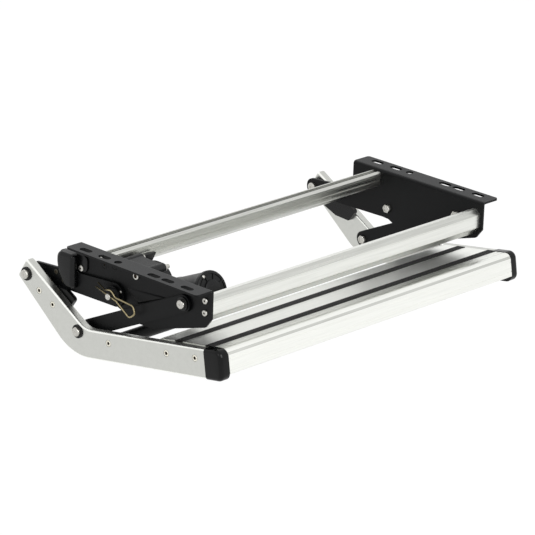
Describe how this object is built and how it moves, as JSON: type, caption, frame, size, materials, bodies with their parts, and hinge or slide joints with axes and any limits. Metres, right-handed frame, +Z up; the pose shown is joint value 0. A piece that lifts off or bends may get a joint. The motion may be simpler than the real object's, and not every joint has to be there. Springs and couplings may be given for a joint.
{
  "type": "electric caravan step",
  "caption": "Electric folding caravan step: bent steel side plates on slotted flanges, crossmembers, swinging links, cranked aluminium arms, ribbed tread and a gear motor.",
  "frame": {"origin": "middle of the mounting plane, which is the tops of the two side flanges", "axes": "+X across the step towards the side without the motor, +Y away from the side people step on, +Z up"},
  "size_m": [0.604, 0.3941, 0.1502],
  "materials": {
    "powder_coated_steel": "satin",
    "anodised_aluminium": "satin",
    "zinc_plated_steel": "satin",
    "die_cast_case": "satin",
    "moulded_plastic": "satin",
    "black_rubber": "matte"
  },
  "bodies": {
    "frame": {"side_plate_left": "powder_coated_steel", "side_plate_right": "powder_coated_steel", "front_crossmember": "anodised_aluminium", "rear_crossmember": "anodised_aluminium", "front_crossmember_screws_left": "zinc_plated_steel", "front_crossmember_screws_right": "zinc_plated_steel", "rear_crossmember_screw_left": "powder_coated_steel", "rear_crossmember_screw_right": "powder_coated_steel", "front_pivot_bolt_left": "zinc_plated_steel", "front_pivot_bolt_right": "zinc_plated_steel", "rear_pivot_bolt_right": "zinc_plated_steel", "gear_case": "die_cast_case", "gear_cover": "die_cast_case", "motor_can": "powder_coated_steel", "motor_end_cap": "moulded_plastic", "cable_gland": "black_rubber", "motor_bolts": "zinc_plated_steel", "rear_cover": "moulded_plastic", "rear_cover_screw": "zinc_plated_steel", "front_pivot_washer_left": "moulded_plastic", "front_pivot_washer_right": "moulded_plastic", "rear_pivot_washer_right": "moulded_plastic"},
    "lower_links": {"lower_link_left": "powder_coated_steel", "lower_link_right": "powder_coated_steel"},
    "upper_links": {"upper_link_left": "powder_coated_steel", "upper_link_right": "powder_coated_steel", "heel_stud_left": "zinc_plated_steel", "heel_stud_right": "zinc_plated_steel", "link_crossbar": "anodised_aluminium", "link_crossbar_screws_left": "zinc_plated_steel", "link_crossbar_screws_right": "zinc_plated_steel", "output_shaft": "powder_coated_steel", "release_pin": "zinc_plated_steel", "r_clip": "zinc_plated_steel"},
    "tread_assembly": {"arm_left": "anodised_aluminium", "arm_right": "anodised_aluminium", "end_cap_left": "moulded_plastic", "end_cap_right": "moulded_plastic", "buffer_block_left": "moulded_plastic", "buffer_block_right": "moulded_plastic", "buffer_block_screws_left": "zinc_plated_steel", "buffer_block_screws_right": "zinc_plated_steel", "tread_screws_left": "zinc_plated_steel", "tread_screws_right": "zinc_plated_steel", "knee_bolt_left": "zinc_plated_steel", "knee_bolt_right": "zinc_plated_steel", "knee_spacer_left": "zinc_plated_steel", "knee_spacer_right": "zinc_plated_steel", "heel_bolt_left": "zinc_plated_steel", "heel_bolt_right": "zinc_plated_steel", "tread": "anodised_aluminium", "grip_strip_front": "black_rubber", "grip_strip_rear": "black_rubber", "arm_cross_tube": "powder_coated_steel", "knee_washer_left": "moulded_plastic", "knee_washer_right": "moulded_plastic", "heel_washer_left": "moulded_plastic", "heel_washer_right": "moulded_plastic"}
  },
  "joints": [
    {"name": "lower_swing", "type": "hinge", "parent": "frame", "child": "lower_links", "pos_m": [0, -0.075, -0.031], "axis": [1, 0, 0], "range_deg": [-92.5, 0]},
    {"name": "tread_tilt", "type": "hinge", "parent": "lower_links", "child": "tread_assembly", "pos_m": [0, 0.102, -0.116], "axis": [1, 0, 0], "range_deg": [0, 102]},
    {"name": "upper_swing", "type": "hinge", "parent": "frame", "child": "upper_links", "pos_m": [0, 0.054, -0.055], "axis": [1, 0, 0], "range_deg": [-145.6, 0]}
  ],
  "couplings": [
    {"joint": "tread_tilt", "follows": "lower_swing", "ratio": -1.1027},
    {"joint": "upper_swing", "follows": "lower_swing", "ratio": 1.5741}
  ]
}
